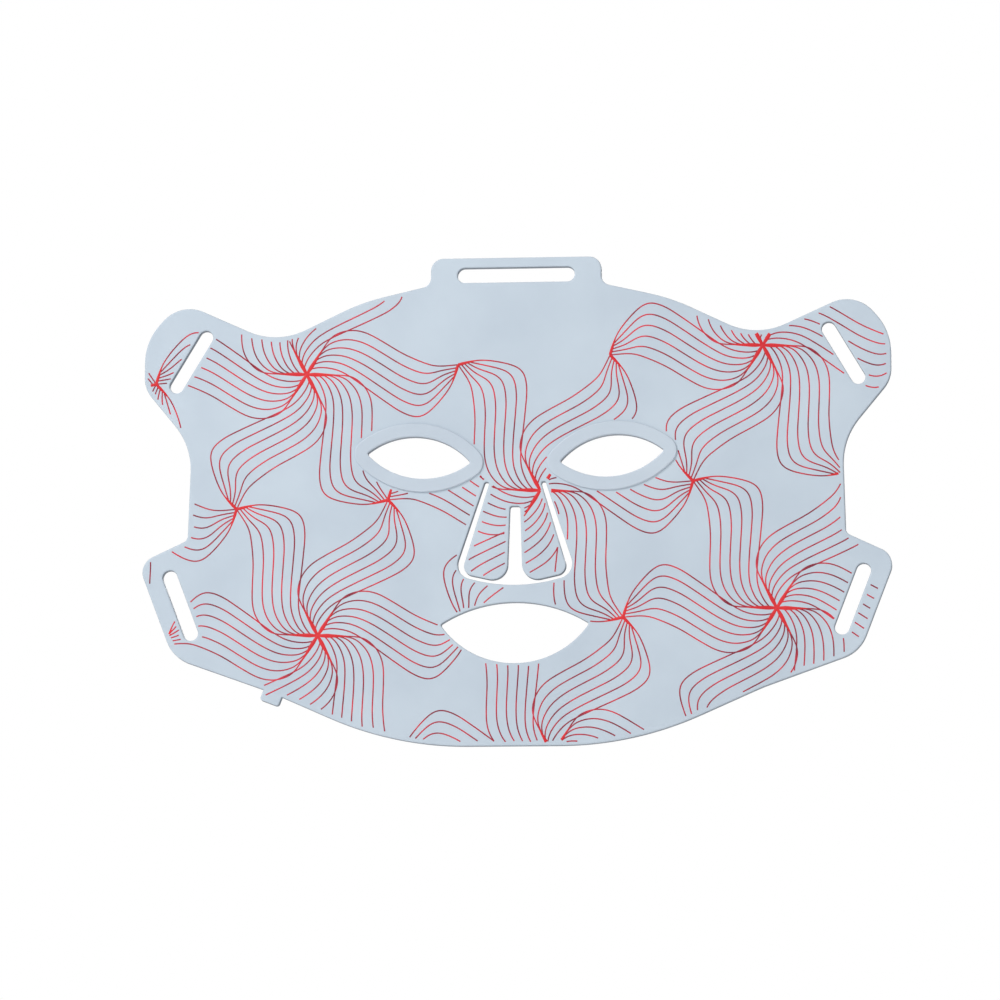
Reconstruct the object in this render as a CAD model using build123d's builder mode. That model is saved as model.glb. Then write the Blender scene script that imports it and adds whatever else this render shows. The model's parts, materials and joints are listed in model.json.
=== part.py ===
from build123d import *
from math import atan2, cos, degrees, hypot, pi, radians, sin
import os

# A soft silicone LED face mask, laid flat and standing upright as its wearer would
# look through it. X runs to the right as seen from the front, Z is up, and the
# printed front faces -Y. The back, which lies on the skin, is the plane y = 0, and
# the origin is on that plane at the top of the nose. All lengths are in millimetres.

# The silicone sheet: a thick back cover with the light windows and a thin front
# cover bonded to it. The sheet bends along straight fold lines, where its facets
# stand a hair apart.
sheet_thickness = 3.6
front_cover_thickness = 1.6
back_cover_thickness = sheet_thickness - front_cover_thickness
fold_gap = 0.4

# Outer edge, right half, from the top middle to the chin: corner x, corner z, radius.
mask_top = 80.8
mask_chin = -115.5
strap_tab_half_width = 34.2
edge_corners = [
    (strap_tab_half_width, mask_top, 5.0),
    (strap_tab_half_width, 69.9, 4.0),
    (61.9, 63.5, 80.0),
    (96.1, 47.1, 27.0),
    (135.4, 64.9, 14.0),
    (149.4, 49.0, 23.0),
    (149.5, 29.6, 13.0),
    (130.1, 6.0, 28.0),
    (131.3, -32.0, 3.0),
    (151.2, -41.3, 6.9),
    (136.7, -79.2, 15.0),
    (98.2, -93.0, 60.0),
    (47.3, mask_chin, 137.0),
]

# Strap slots, by centre, length, width and the angle of the outward normal.
forehead_slot = (0.0, 73.8, 47.0, 6.0, 90.0)
upper_slot = (130.6, 40.2, 28.4, 5.6, 30.8)
lower_slot = (133.9, -58.3, 29.9, 5.9, -20.9)

# Eye openings: an almond between two corners, and a raised rim round it.
eye_outer_corner = (59.4, 2.0)
eye_inner_corner = (17.8, -2.2)
eye_upper_lid = (39.8, 8.6)
eye_lower_lid = (36.6, -8.4)
corner_radius = 0.8
eye_rim_width = 5.4
eye_rim_height = 0.8
eye_rim_edge_radius = 0.5

# Mouth opening.
mouth_half_width = 29.6
mouth_corner_z = -67.0
mouth_upper_lip_z = -58.3
mouth_lower_lip_z = -82.6

# Nose opening: two slits and a lower gap leave a flap, split into two lobes.
nose_top_z = -10.0
nose_top_half_width = 12.1
nose_bottom_half_width = 24.4
nose_bottom_corner_z = -46.6
nose_bottom_z = -51.3
nose_corner_radius = 6.0
slit_end_radius = 0.8
flap_root_z = -9.0
flap_root_half_width = 9.9
lobe_outer_corner = (21.4, -46.6)
lobe_outer_radius = 4.0
lobe_inner_corner = (3.1, -50.7)
lobe_inner_radius = 6.2
nose_slot_half_width = 2.05
nose_slot_top_z = -19.8
nose_slot_radius = 1.0

# Fold lines, by a point on the line and the angle of the outward normal.
side_fold_x = 80.0
forehead_fold_z = 67.5
nose_fold_z = -24.0
upper_fold_setback = 9.0
lower_fold_setback = 9.5

# Lights: chips on the circuit, each behind a clear lens in a window of the back cover.
# They stand in a staggered lattice, whose row 0 is half a row above the origin.
led_pitch = 16.0
led_row_pitch = led_pitch * sin(radians(60))
led_first_row_z = led_row_pitch / 2
led_rows = range(-9, 7)
led_half_columns = range(-20, 21)
led_length, led_width, led_height = 3.5, 2.8, 0.8
window_radius = 2.6
lens_radius = 3.0
lens_seat_depth = 0.85
lens_thickness = 0.75
led_edge_distance = 6.5
led_fold_distance = 15.5
led_tab_fold_distance = 10.0
lens_clearance = 0.02

# Flexible circuit: pads under the lights, joined by strips, let into the back cover.
circuit_thickness = 0.3
circuit_pad_radius = 3.4
circuit_strip_width = 3.2
circuit_edge_distance = 3.0
neighbour_reach = 1.1 * led_pitch
fold_strip_rows = (2, -2, -4)
eye_bypass_x = 4 * led_pitch
eye_bypass_rows = (0, -2)

# Power inlet in the lower left edge: a moulded tab round a small socket.
inlet_x, inlet_z = -96.5, -94.0
inlet_tilt = -21.0
inlet_tab_width = 8.0
inlet_tab_reach = 4.0
inlet_tab_length = 10.0
inlet_tab_radius = 1.2
shell_width, shell_height, shell_length = 6.0, 2.2, 7.0
shell_wall = 0.25
shell_radius = 0.55
socket_depth = 5.5
tongue_width, tongue_thickness, tongue_length = 4.2, 0.5, 4.6
contact_width, contact_thickness, contact_length = 0.5, 0.12, 4.0
contact_pitch = 1.0
contact_count = 4

# Driver chip and its capacitors, on the circuit close to the inlet.
chip_x, chip_z = -100.0, -79.0
chip_size, chip_height = 4.0, 0.8
capacitor_length, capacitor_width, capacitor_height = 2.0, 1.2, 0.7
capacitor_offset = 4.2
chip_pocket_clearance = 0.15
chip_land_margin = 1.5
chip_land_radius = 1.2
chip_keep_out = 10.5

# The area beyond a fold line is cut with a square this large.
beyond_size = 300.0

os.makedirs("parts", exist_ok=True)


# ---------------------------------------------------------------- sheet profile

def slot_profile(slot):
    """Round-ended strap slot, its length square to its outward normal."""
    x, z, length, width, normal_angle = slot
    with BuildSketch() as profile:
        with Locations((x, z)):
            SlotOverall(length, width, rotation=normal_angle + 90)
    return profile.sketch


def outer_profile():
    """The sheet's outer edge, both halves, without its openings."""
    corners = [(0, mask_top)] + [(x, z) for x, z, r in edge_corners] + [(0, mask_chin)]
    radii = [r for x, z, r in edge_corners]
    with BuildSketch() as profile:
        with BuildLine():
            FilletPolyline(*corners, radius=radii)
            mirror(about=Plane.YZ)
        make_face()
    return profile.sketch


def eye_profile():
    """One almond eye opening, on the right."""
    with BuildSketch() as profile:
        with BuildLine():
            ThreePointArc(eye_outer_corner, eye_upper_lid, eye_inner_corner)
            ThreePointArc(eye_inner_corner, eye_lower_lid, eye_outer_corner)
        make_face()
        fillet(profile.vertices(), corner_radius)
    return profile.sketch


def mouth_profile():
    left, right = (-mouth_half_width, mouth_corner_z), (mouth_half_width, mouth_corner_z)
    with BuildSketch() as profile:
        with BuildLine():
            ThreePointArc(left, (0, mouth_upper_lip_z), right)
            ThreePointArc(right, (0, mouth_lower_lip_z), left)
        make_face()
        fillet(profile.vertices(), corner_radius)
    return profile.sketch


def nose_flap_profile():
    """The flap between the slits: a bridge at the top and a lobe on each side."""
    lobe_corners = [
        (0, flap_root_z),
        (flap_root_half_width, flap_root_z),
        lobe_outer_corner,
        lobe_inner_corner,
        (nose_slot_half_width, nose_slot_top_z),
        (0, nose_slot_top_z),
    ]
    lobe_radii = [0, 0, lobe_outer_radius, lobe_inner_radius, nose_slot_radius, 0]
    with BuildSketch() as profile:
        with BuildLine():
            FilletPolyline(*lobe_corners, radius=lobe_radii, close=True)
        make_face()
        mirror(about=Plane.YZ)
    return profile.sketch


def nose_opening_profile(flap):
    """Everything that is open round the nose flap."""
    top_left, top_right = (-nose_top_half_width, nose_top_z), (nose_top_half_width, nose_top_z)
    bottom_left = (-nose_bottom_half_width, nose_bottom_corner_z)
    bottom_right = (nose_bottom_half_width, nose_bottom_corner_z)
    with BuildSketch() as profile:
        with BuildLine():
            Polyline(bottom_left, top_left, top_right, bottom_right)
            ThreePointArc(bottom_right, (0, nose_bottom_z), bottom_left)
        make_face()
        fillet(profile.vertices().group_by(Axis.Y)[0], nose_corner_radius)
        add(flap, mode=Mode.SUBTRACT)
        fillet(profile.vertices().group_by(Axis.Y)[-1], slit_end_radius)
    return profile.sketch


def inlet_tab_profile():
    """The small tab that holds the power socket, standing out of the lower edge."""
    inward = inlet_tab_length / 2 - inlet_tab_reach
    tilt = radians(inlet_tilt)
    with BuildSketch() as profile:
        with Locations((inlet_x - inward * sin(tilt), inlet_z + inward * cos(tilt))):
            RectangleRounded(inlet_tab_width, inlet_tab_length, inlet_tab_radius, inlet_tilt)
    return profile.sketch


nose_flap = nose_flap_profile()
eye_opening = eye_profile()
nose_opening = nose_opening_profile(nose_flap)

with BuildSketch() as strap_slots:
    add(slot_profile(forehead_slot))
    for side_slot in (upper_slot, lower_slot):
        add(slot_profile(side_slot))
        mirror(slot_profile(side_slot), about=Plane.YZ)

with BuildSketch() as sheet:
    add(outer_profile())
    add(inlet_tab_profile())
    add(strap_slots.sketch, mode=Mode.SUBTRACT)
    add(eye_opening, mode=Mode.SUBTRACT)
    add(mirror(eye_opening, about=Plane.YZ, mode=Mode.PRIVATE), mode=Mode.SUBTRACT)
    add(mouth_profile(), mode=Mode.SUBTRACT)
    add(nose_opening, mode=Mode.SUBTRACT)


# ------------------------------------------------------------------- facets

def fold_behind(slot, setback):
    """Fold line parallel to a strap slot, a set distance inboard of its middle."""
    x, z, length, width, normal_angle = slot
    normal = radians(normal_angle)
    return (x - setback * cos(normal), z - setback * sin(normal), normal_angle)


def across(fold):
    """The same fold line on the other side of the face."""
    x, z, normal_angle = fold
    return (-x, z, 180 - normal_angle)


def beyond(fold, distance=0.0):
    """Large square that starts a distance beyond a fold line."""
    x, z, normal_angle = fold
    normal = radians(normal_angle)
    reach = distance + beyond_size / 2
    with BuildSketch() as area:
        with Locations((x + reach * cos(normal), z + reach * sin(normal))):
            Rectangle(beyond_size, beyond_size, rotation=normal_angle)
    return area.sketch


right_fold = (side_fold_x, 0.0, 0.0)
left_fold = across(right_fold)
forehead_fold = (0.0, forehead_fold_z, 90.0)
nose_fold = (0.0, nose_fold_z, -90.0)
upper_right_fold = fold_behind(upper_slot, upper_fold_setback)
lower_right_fold = fold_behind(lower_slot, lower_fold_setback)
upper_left_fold = across(upper_right_fold)
lower_left_fold = across(lower_right_fold)


def facet(inside, outside=()):
    """The part of the sheet beyond the inside folds and short of the outside ones."""
    with BuildSketch() as profile:
        add(sheet.sketch)
        for fold in inside:
            add(beyond(fold, fold_gap / 2), mode=Mode.INTERSECT)
        for fold in outside:
            add(beyond(fold, -fold_gap / 2), mode=Mode.SUBTRACT)
    return profile.sketch


with BuildSketch() as lobes:
    add(nose_flap)
    add(beyond(nose_fold, fold_gap / 2), mode=Mode.INTERSECT)

with BuildSketch() as lobes_and_fold:
    add(nose_flap)
    add(beyond(nose_fold, -fold_gap / 2), mode=Mode.INTERSECT)

with BuildSketch() as centre_facet:
    add(facet([], [right_fold, left_fold, forehead_fold]))
    add(lobes_and_fold.sketch, mode=Mode.SUBTRACT)

left_lobe, right_lobe = lobes.faces().sort_by(Axis.X)

facets = {
    "centre": centre_facet.sketch,
    "left_side": facet([left_fold], [upper_left_fold, lower_left_fold]),
    "right_side": facet([right_fold], [upper_right_fold, lower_right_fold]),
    "forehead_tab": facet([forehead_fold]),
    "upper_left_tab": facet([upper_left_fold]),
    "upper_right_tab": facet([upper_right_fold]),
    "lower_left_tab": facet([lower_left_fold]),
    "lower_right_tab": facet([lower_right_fold]),
    "nose_left_lobe": left_lobe,
    "nose_right_lobe": right_lobe,
}


# ------------------------------------------------------- lights and circuit layout

def clear_of_edges(face, x, z, distance):
    """True where a disc of that radius lies wholly on the face."""
    steps = 16
    turns = [2 * pi * k / steps for k in range(steps)]
    rim = [(x + distance * cos(turn), z + distance * sin(turn)) for turn in turns]
    return face.is_inside((x, z, 0)) and all(face.is_inside((a, b, 0)) for a, b in rim)


def fold_distance(fold, x, z):
    """How far a point lies from a fold line."""
    fold_x, fold_z, normal_angle = fold
    normal = radians(normal_angle)
    return abs((x - fold_x) * cos(normal) + (z - fold_z) * sin(normal))


def lights_on(face):
    """Places of the lights on one facet: a staggered lattice, clear of every edge and bend."""
    places = []
    for row in led_rows:
        for half_column in led_half_columns:
            x, z = half_column * led_pitch / 2, led_first_row_z + row * led_row_pitch
            if (row + half_column) % 2 or hypot(x - chip_x, z - chip_z) < chip_keep_out:
                continue
            if fold_distance(right_fold, abs(x), z) < led_fold_distance:
                continue
            tab_folds = (upper_right_fold, lower_right_fold)
            if min(fold_distance(fold, abs(x), z) for fold in tab_folds) < led_tab_fold_distance:
                continue
            if clear_of_edges(face, x, z, led_edge_distance):
                places.append((x, z))
    return places


def strips_between(face, places):
    """Straight strips between neighbouring lights, as middle, length and angle."""
    strips = []
    for index, (x, z) in enumerate(places):
        for other_x, other_z in places[index + 1:]:
            length = hypot(other_x - x, other_z - z)
            middle_x, middle_z = (x + other_x) / 2, (z + other_z) / 2
            near = length < neighbour_reach
            if near and clear_of_edges(face, middle_x, middle_z, circuit_edge_distance):
                strips.append((middle_x, middle_z, length, degrees(atan2(other_z - z, other_x - x))))
    return strips


def strips_to_fold(places, fold_x):
    """Strips that carry the circuit on to a side fold, in the rows chosen for it."""
    strips = []
    same_row = led_row_pitch / 2
    for row in fold_strip_rows:
        z = led_first_row_z + row * led_row_pitch
        in_row = [x for x, place_z in places if abs(place_z - z) < same_row and x * fold_x > 0]
        nearest = min(in_row, key=lambda x: abs(x - fold_x))
        strip_end = fold_x + (fold_gap / 2 if nearest > fold_x else -fold_gap / 2)
        strips.append(((nearest + strip_end) / 2, z, abs(nearest - strip_end), 0))
    return strips


def strips_past_eyes():
    """Upright strips that carry the circuit past the outer corner of each eye."""
    top_z, bottom_z = [led_first_row_z + row * led_row_pitch for row in eye_bypass_rows]
    return [(x, (top_z + bottom_z) / 2, top_z - bottom_z, 90) for x in (eye_bypass_x, -eye_bypass_x)]


light_folds = {
    "centre": (-side_fold_x, side_fold_x),
    "left_side": (-side_fold_x,),
    "right_side": (side_fold_x,),
}
light_places = {body: lights_on(facets[body].face()) for body in light_folds}


# ------------------------------------------------------------------ power inlet

inlet_face = Plane(
    origin=(inlet_x + inlet_tab_reach * sin(radians(inlet_tilt)), -sheet_thickness / 2,
            inlet_z - inlet_tab_reach * cos(radians(inlet_tilt))),
    x_dir=(cos(radians(inlet_tilt)), 0, sin(radians(inlet_tilt))),
    z_dir=(-sin(radians(inlet_tilt)), 0, cos(radians(inlet_tilt))),
)



def shell_outline(inset):
    """Rounded outline of the socket shell, or of its inside when inset by its wall."""
    radius = shell_radius - inset
    RectangleRounded(shell_width - 2 * inset, shell_height - 2 * inset, radius)


with BuildPart() as inlet_cavity:
    with BuildSketch(inlet_face):
        shell_outline(0)
    extrude(amount=shell_length)

with BuildPart() as inlet_shell:
    add(inlet_cavity.part)
    with BuildSketch(inlet_face):
        shell_outline(shell_wall)
    extrude(amount=shell_length, mode=Mode.SUBTRACT)

with BuildPart() as inlet_tongue:
    with BuildSketch(inlet_face.offset(socket_depth)):
        shell_outline(shell_wall)
    extrude(amount=shell_length - socket_depth)
    with BuildSketch(inlet_face.offset(socket_depth)):
        Rectangle(tongue_width, tongue_thickness)
    extrude(amount=-tongue_length)

with BuildPart() as inlet_contacts:
    with BuildSketch(inlet_face.offset(socket_depth)):
        with Locations((0, (tongue_thickness + contact_thickness) / 2)):
            with GridLocations(contact_pitch, 1, contact_count, 1):
                Rectangle(contact_width, contact_thickness)
    extrude(amount=-contact_length)


# ------------------------------------------------------------ circuit and covers

cover_seam = Plane.XZ.offset(back_cover_thickness)
circuit_back = Plane.XZ.offset(back_cover_thickness - circuit_thickness)
skin_side = Plane(origin=(0, 0, 0), x_dir=(-1, 0, 0), z_dir=(0, 1, 0))
chip_places = [(chip_x, chip_z)]
capacitor_places = [(chip_x, chip_z + capacitor_offset), (chip_x, chip_z - capacitor_offset)]


def save(part, name):
    part.label = name
    export_step(part, f"parts/{name}.step")


def add_chip_land():
    """Circuit land under the chip, and the strips that tie it to the inlet and the lights."""
    land_width = chip_size + 2 * chip_land_margin
    land_height = 2 * capacitor_offset + capacitor_width + 2 * chip_land_margin
    with Locations((chip_x, chip_z)):
        RectangleRounded(land_width, land_height, chip_land_radius)
    tail_x = inlet_face.origin.X + shell_length * inlet_face.z_dir.X
    tail_z = inlet_face.origin.Z + shell_length * inlet_face.z_dir.Z
    nearest_x, nearest_z = min(
        light_places["left_side"], key=lambda place: hypot(place[0] - chip_x, place[1] - chip_z)
    )
    for end_x, end_z in ((tail_x, tail_z), (nearest_x, nearest_z)):
        length = hypot(end_x - chip_x, end_z - chip_z)
        angle = degrees(atan2(end_z - chip_z, end_x - chip_x))
        with Locations(((end_x + chip_x) / 2, (end_z + chip_z) / 2)):
            Rectangle(length, circuit_strip_width, rotation=angle)


def pocket_profile(places, length, width):
    """Pockets for components that stand on the circuit, with room all round them."""
    with BuildSketch(circuit_back) as profile:
        with Locations(*places):
            Rectangle(length + 2 * chip_pocket_clearance, width + 2 * chip_pocket_clearance)
    return profile.sketch


circuits = {}
for body, fold_xs in light_folds.items():
    places = light_places[body]
    strips = strips_between(facets[body].face(), places)
    for fold_x in fold_xs:
        strips = strips + strips_to_fold(places, fold_x)
    if body == "centre":
        strips = strips + strips_past_eyes()
    with BuildPart() as flex_circuit:
        with BuildSketch(circuit_back):
            with Locations(*places):
                Circle(circuit_pad_radius)
            for x, z, length, angle in strips:
                with Locations((x, z)):
                    Rectangle(length, circuit_strip_width, rotation=angle)
            if body == "left_side":
                add_chip_land()
        extrude(amount=circuit_thickness)
        if body == "left_side":
            add(inlet_cavity.part, mode=Mode.SUBTRACT)
    circuits[body] = flex_circuit.part
    save(flex_circuit.part, f"flex_circuit_{body}")

for body, profile in facets.items():
    with BuildPart() as front_cover:
        with BuildSketch(cover_seam):
            add(profile)
        extrude(amount=front_cover_thickness)
        if body == "left_side":
            add(inlet_cavity.part, mode=Mode.SUBTRACT)
    save(front_cover.part, f"front_cover_{body}")

    with BuildPart() as back_cover:
        with BuildSketch(Plane.XZ):
            add(profile)
        extrude(amount=back_cover_thickness)
        if body in circuits:
            add(circuits[body], mode=Mode.SUBTRACT)
            with Locations(skin_side):
                with Locations(*[(-x, z) for x, z in light_places[body]]):
                    CounterBoreHole(window_radius, lens_radius, lens_seat_depth, back_cover_thickness)
        if body == "left_side":
            add(inlet_cavity.part, mode=Mode.SUBTRACT)
            chip_pocket = pocket_profile(chip_places, chip_size, chip_size)
            chip_pocket_depth = chip_height + chip_pocket_clearance
            extrude(chip_pocket, amount=-chip_pocket_depth, mode=Mode.SUBTRACT)
            capacitor_pockets = pocket_profile(capacitor_places, capacitor_length, capacitor_width)
            capacitor_pocket_depth = capacitor_height + chip_pocket_clearance
            extrude(capacitor_pockets, amount=-capacitor_pocket_depth, mode=Mode.SUBTRACT)
    save(back_cover.part, f"back_cover_{body}")


# --------------------------------------------------------------- lights and lenses

for body, places in light_places.items():
    with BuildPart() as leds:
        with BuildSketch(circuit_back):
            with Locations(*places):
                Rectangle(led_length, led_width)
        extrude(amount=-led_height)
    save(leds.part, f"leds_{body}")

    with BuildPart() as lenses:
        with BuildSketch(Plane.XZ.offset(lens_seat_depth)):
            with Locations(*places):
                Circle(lens_radius - lens_clearance)
        extrude(amount=-lens_thickness)
    save(lenses.part, f"lenses_{body}")


# -------------------------------------------------------------------- eye rims

for rim_name, side in (("eye_rim_right", 1), ("eye_rim_left", -1)):
    with BuildPart() as eye_rim:
        with BuildSketch(Plane.XZ.offset(sheet_thickness)):
            add(eye_opening)
            offset(amount=eye_rim_width, kind=Kind.ARC)
            add(eye_opening, mode=Mode.SUBTRACT)
            if side < 0:
                mirror(about=Plane.YZ, mode=Mode.REPLACE)
        extrude(amount=eye_rim_height)
        rim_front = eye_rim.faces().sort_by(Axis.Y)[0]
        fillet(rim_front.outer_wire().edges(), eye_rim_edge_radius)
    save(eye_rim.part, rim_name)


# ------------------------------------------------------------- inlet and driver

save(inlet_shell.part, "inlet_shell")
save(inlet_tongue.part, "inlet_tongue")
save(inlet_contacts.part, "inlet_contacts")

with BuildPart() as driver_chip:
    with BuildSketch(circuit_back):
        with Locations(*chip_places):
            Rectangle(chip_size, chip_size)
    extrude(amount=-chip_height)
save(driver_chip.part, "driver_chip")

with BuildPart() as capacitors:
    with BuildSketch(circuit_back):
        with Locations(*capacitor_places):
            Rectangle(capacitor_length, capacitor_width)
    extrude(amount=-capacitor_height)
save(capacitors.part, "capacitors")
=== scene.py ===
import json
import math

import bmesh
import bpy
import numpy as np
from mathutils import Matrix, Vector
from mathutils.geometry import delaunay_2d_cdt

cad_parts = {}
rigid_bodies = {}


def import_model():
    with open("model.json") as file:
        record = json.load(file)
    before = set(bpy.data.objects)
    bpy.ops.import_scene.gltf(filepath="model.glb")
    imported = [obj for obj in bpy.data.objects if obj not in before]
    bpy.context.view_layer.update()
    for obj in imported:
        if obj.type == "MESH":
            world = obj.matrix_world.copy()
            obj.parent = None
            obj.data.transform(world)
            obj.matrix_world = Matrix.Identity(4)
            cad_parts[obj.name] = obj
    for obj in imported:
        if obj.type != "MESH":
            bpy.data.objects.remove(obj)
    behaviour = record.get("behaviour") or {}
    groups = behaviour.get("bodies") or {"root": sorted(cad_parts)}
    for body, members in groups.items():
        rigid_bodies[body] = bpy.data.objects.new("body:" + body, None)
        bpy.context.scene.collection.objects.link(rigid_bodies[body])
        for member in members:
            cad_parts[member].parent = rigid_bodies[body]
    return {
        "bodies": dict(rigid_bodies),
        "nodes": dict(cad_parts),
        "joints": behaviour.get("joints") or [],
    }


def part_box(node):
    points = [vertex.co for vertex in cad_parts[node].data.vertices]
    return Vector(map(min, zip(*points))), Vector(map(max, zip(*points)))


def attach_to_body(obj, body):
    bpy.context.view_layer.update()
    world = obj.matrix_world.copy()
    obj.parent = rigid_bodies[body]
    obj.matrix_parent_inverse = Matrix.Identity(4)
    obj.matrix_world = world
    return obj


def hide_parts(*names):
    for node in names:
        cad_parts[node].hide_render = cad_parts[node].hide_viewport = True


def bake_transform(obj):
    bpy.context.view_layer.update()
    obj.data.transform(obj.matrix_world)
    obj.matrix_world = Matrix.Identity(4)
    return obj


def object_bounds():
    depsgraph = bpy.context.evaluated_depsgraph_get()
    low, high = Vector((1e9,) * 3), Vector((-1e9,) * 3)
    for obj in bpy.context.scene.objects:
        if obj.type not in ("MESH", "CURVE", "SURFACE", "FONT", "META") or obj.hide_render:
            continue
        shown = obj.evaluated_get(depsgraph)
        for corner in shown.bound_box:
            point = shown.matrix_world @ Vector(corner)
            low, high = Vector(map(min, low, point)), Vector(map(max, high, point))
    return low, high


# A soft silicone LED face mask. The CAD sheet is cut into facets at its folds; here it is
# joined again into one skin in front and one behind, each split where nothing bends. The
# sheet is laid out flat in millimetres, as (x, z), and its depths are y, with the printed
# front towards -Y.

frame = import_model()
cad_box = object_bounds()

MM = 0.001
FRONT = round(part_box("front_cover_centre")[0].y / MM, 3)
SEAM = round(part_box("front_cover_centre")[1].y / MM, 3)
SKIN = round(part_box("back_cover_centre")[1].y / MM, 3)
RIM_FRONT = round(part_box("eye_rim_right")[0].y / MM, 3)

# Sizes of the skins and their meshes, in millimetres.
OUTLINE_STEP = 1.3
RIM_STEP = 1.0
FLAT_TOLERANCE = 0.02
FOLD_SNAP = 0.26
FOLD_REACH = 2.5
FRONT_EDGE_RADIUS = 0.5
SEAM_RADIUS = 0.07
SKIN_EDGE_RADIUS = 0.45
RIM_EDGE_RADIUS = 0.45
WINDOW_RADIUS = 2.98
WINDOW_EDGE_RADIUS = 0.3
SUPPORT_WIDTH = 0.15
COARSE_STEP = 5.0
COARSE_MARGIN = 12
EDGE_CLEARANCE = 0.95
CROWDED = 0.6
LIGHT_REACH = 7
NOSE_LEVEL = -30
SAME_PLACE = 1.0
TAB_MARGIN = 1
ROW_MARGIN = 3

# A corner turns more than this, a long chord is this many times its neighbour, a corner's
# inset divides by this at least, and a wall's normal leans less than this to front or back.
SHARP_TURN = math.radians(60)
LONG_CHORD = 3
LEAST_SHARE = 0.6
WALL_SLOPE = 0.5

# Points in each row of the mesh along a fold, on each side of its middle, and round a window.
ROW_POINTS = 130
WINDOW_POINTS = 28

# What the triangulation is told: to keep what is inside, and what counts as touching.
INSIDE_ONLY = 1
TOUCHING = 1e-5

# Each kind of fold: how far inboard the skins are split, half the width of the bend, and
# the mesh steps across the bend and along it. A later kind takes its region from an earlier.
FOLD_KINDS = {
    "forehead_tab": (5.5, 3.2, 0.8, 1.3),
    "side": (12.6, 12.0, 1.5, 1.6),
    "lobe": (6.0, 4.2, 0.8, 1.3),
    "tab": (8.5, 6.0, 1.1, 1.3),
}


# ---------------- the flat outline

def flat_outline(node, depth):
    """Edges round a CAD node's flat face at one depth, as pairs of (x, z)."""
    mesh = frame["nodes"][node].data
    spots = [tuple(round(c / MM, 3) for c in v.co) for v in mesh.vertices]
    uses = {}
    for polygon in mesh.polygons:
        corners = [spots[i] for i in polygon.vertices]
        if any(abs(y - depth) > FLAT_TOLERANCE for x, y, z in corners):
            continue
        flat = [(x, z) for x, y, z in corners]
        for start, end in zip(flat, flat[1:] + flat[:1]):
            edge = tuple(sorted((start, end)))
            uses[edge] = uses.get(edge, 0) + 1
    return [edge for edge, times in uses.items() if times == 1]


def chained(edges, place):
    """Closed loops of places, from edges whose every point has two neighbours."""
    neighbours = {}
    for start, end in edges:
        neighbours.setdefault(start, []).append(end)
        neighbours.setdefault(end, []).append(start)
    loops, seen = [], set()
    for first in neighbours:
        if first in seen:
            continue
        loop = [first]
        seen.add(first)
        following = neighbours[first][:1]
        while following:
            loop.append(following[0])
            seen.add(following[0])
            following = [key for key in neighbours[loop[-1]] if key not in seen][:1]
        loops.append(np.array([place[key] for key in loop]))
    return loops


class Fold:
    """One joint of the sheet, as a line in the flat sheet that faces away from its parent."""

    def __init__(self, joint):
        self.parent, self.child = joint["parent"], joint["child"]
        self.kind = next(kind for kind in FOLD_KINDS if self.child.endswith(kind))
        self.inboard, self.half_width, self.step, self.row_step = FOLD_KINDS[self.kind]
        self.start = np.array([joint["pos_m"][0], joint["pos_m"][2]]) / MM
        along = np.array([joint["axis"][0], joint["axis"][2]])
        self.along = along / np.linalg.norm(along)
        low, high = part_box("front_cover_" + self.child)
        self.low, self.high = np.array([low.x, low.z]) / MM, np.array([high.x, high.z]) / MM
        normal = np.array([-self.along[1], self.along[0]])
        outward = np.dot((self.low + self.high) / 2 - self.start, normal)
        self.normal = normal if outward > 0 else -normal

    def beyond(self, points):
        """How far points lie beyond the fold line."""
        return (points - self.start) @ self.normal

    def near_child(self, points, margin):
        """True for the points in the child's box, widened by a margin."""
        within = (points > self.low - margin) & (points < self.high + margin)
        return within.all(axis=-1)


folds = [Fold(joint) for joint in frame["joints"]]
facet_bodies = list(frame["bodies"])


def joined_outline():
    """The sheet's outline loops, with the cuts at the folds closed up."""
    edges = []
    for body in facet_bodies:
        for start, end in flat_outline("front_cover_" + body, FRONT):
            edges.append(((body, start), (body, end)))
    place = {key: np.array(key[1]) for edge in edges for key in edge}

    # The corners at each cut move onto its fold line, and the edges along the cut go.
    on_fold = {}
    for fold in folds:
        for key, spot in place.items():
            if key[0] not in (fold.parent, fold.child):
                continue
            if abs(fold.beyond(spot)) < FOLD_SNAP and fold.near_child(spot, FOLD_REACH):
                place[key] = spot - fold.normal * fold.beyond(spot)
                on_fold[key] = fold
    edges = [e for e in edges if e[0] not in on_fold or on_fold[e[0]] is not on_fold.get(e[1])]

    # What is left of the child's outline joins the parent's, end to end.
    ends = list(dict.fromkeys(key for edge in edges for key in edge if key in on_fold))
    same = {}
    for key in ends:
        fold = on_fold[key]
        if key[0] != fold.child:
            continue
        others = [other for other in ends if on_fold[other] is fold and other[0] == fold.parent]
        nearest = min(others, key=lambda other: np.linalg.norm(place[other] - place[key]))
        same[key] = nearest
        place[nearest] = (place[nearest] + place[key]) / 2
    edges = [tuple(same.get(key, key) for key in edge) for edge in edges]
    return chained(edges, place)


def area_of(loop):
    """Area of a loop, above zero when its inside is on the left."""
    x, z = loop[:, 0], loop[:, 1]
    return 0.5 * float(np.sum(x * np.roll(z, -1) - np.roll(x, -1) * z))


def inside(loop, points):
    """True for the points that lie inside a closed loop."""
    crossed = np.zeros(len(points), bool)
    x, z = points[:, 0], points[:, 1]
    for (x1, z1), (x2, z2) in zip(loop, np.roll(loop, -1, 0)):
        if z1 != z2:
            spans = (z1 > z) != (z2 > z)
            crossed ^= spans & (x < (x2 - x1) * (z - z1) / (z2 - z1) + x1)
    return crossed


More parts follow.
